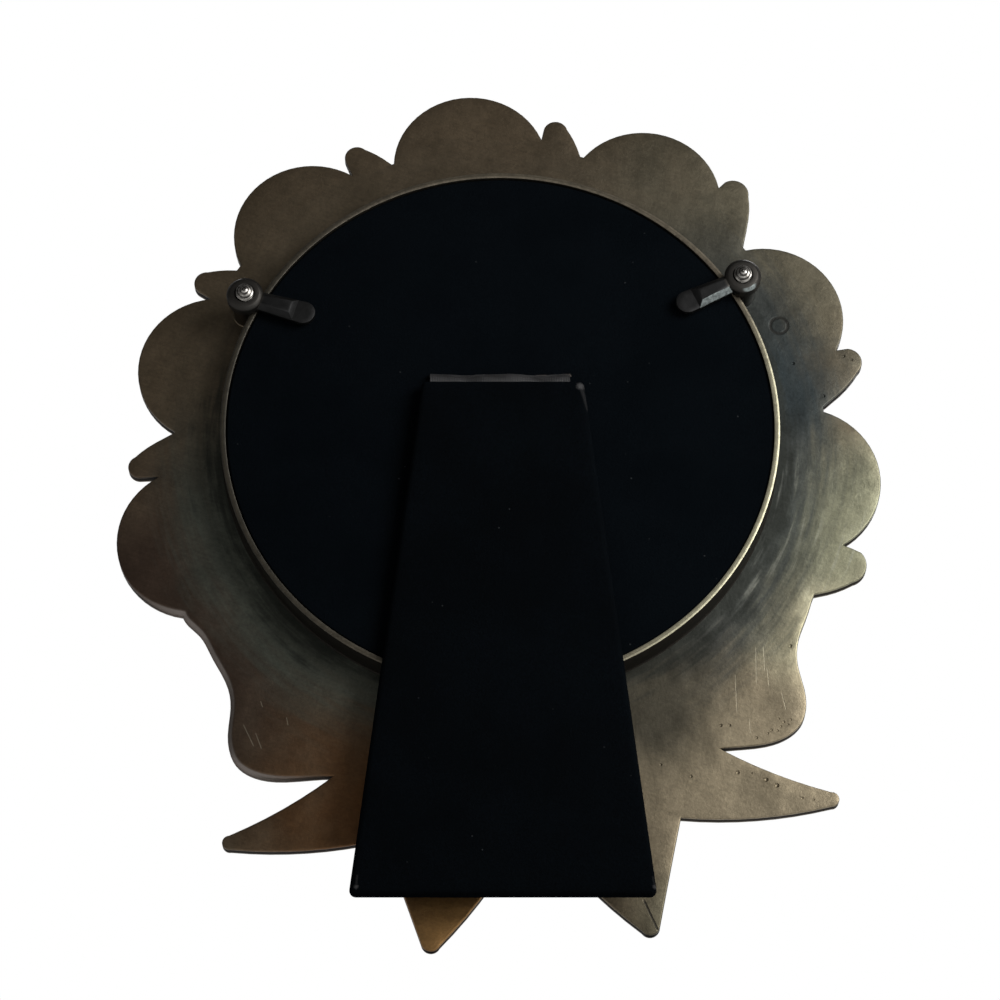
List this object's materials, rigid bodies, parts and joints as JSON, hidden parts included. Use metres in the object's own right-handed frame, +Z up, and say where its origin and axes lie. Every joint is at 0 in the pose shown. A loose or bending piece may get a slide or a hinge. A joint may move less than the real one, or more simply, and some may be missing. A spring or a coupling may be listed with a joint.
{
  "type": "round photo frame",
  "caption": "Round tabletop photo frame: cast rose wreath with a ribbon bow, glass in a round collar, velvet easel back with a folding strut under turn clips.",
  "frame": {"origin": "table level under the middle of the upright frame, at the tips of the bow's hanging tails", "axes": "+Z up the frame, -Y out of its front, +Y out of its velvet back"},
  "size_m": [0.1258, 0.0194, 0.1502],
  "materials": {
    "antique_bronze": "satin, worn and patinated",
    "collar_brass": "satin with a worn bright rim",
    "glass": "clear",
    "photo_paper": "satin",
    "grey_card": "matte",
    "stud_steel": "bright",
    "dark_nickel": "satin, worn at the edges",
    "lining_paper": "matte",
    "fibre_board": "matte",
    "black_velvet": "napped",
    "grey_ribbon": "satin weave",
    "black_ribbon": "satin weave",
    "black_cloth": "plain weave"
  },
  "bodies": {
    "frame": {"frame_casting": "antique_bronze", "collar_ring": "collar_brass", "glass_disc": "glass", "photo_print": "photo_paper", "filler_card": "grey_card", "left_stud": "stud_steel", "right_stud": "stud_steel"},
    "easel_back": {"back_board": "fibre_board", "back_velvet": "black_velvet", "back_lining": "lining_paper", "hinge_ribbon": "grey_ribbon", "stay_ribbon": "black_ribbon"},
    "easel_strut": {"strut_board": "fibre_board", "strut_velvet": "black_velvet", "strut_lining": "black_cloth"},
    "left_turnbutton": {"left_turn_clip": "dark_nickel"},
    "right_turnbutton": {"right_turn_clip": "dark_nickel"}
  },
  "joints": [
    {"name": "back_turn", "type": "hinge", "parent": "frame", "child": "easel_back", "pos_m": [-0.00099, 0.00515, 0.08644], "axis": [0, 1, 0], "range_deg": [-85, 85]},
    {"name": "easel_hinge", "type": "hinge", "parent": "easel_back", "child": "easel_strut", "pos_m": [-0.00152, 0.00515, 0.09357], "axis": [0.9972, 0, 0.075], "range_deg": [0, 30], "deforming": ["hinge_ribbon", "stay_ribbon"]},
    {"name": "left_clip_turn", "type": "hinge", "parent": "frame", "child": "left_turnbutton", "pos_m": [0.03951, 0.00585, 0.11184], "axis": [0, 1, 0], "range_deg": [0, 180]},
    {"name": "right_clip_turn", "type": "hinge", "parent": "frame", "child": "right_turnbutton", "pos_m": [-0.04311, 0.00585, 0.10903], "axis": [0, 1, 0], "range_deg": [0, 180]}
  ]
}
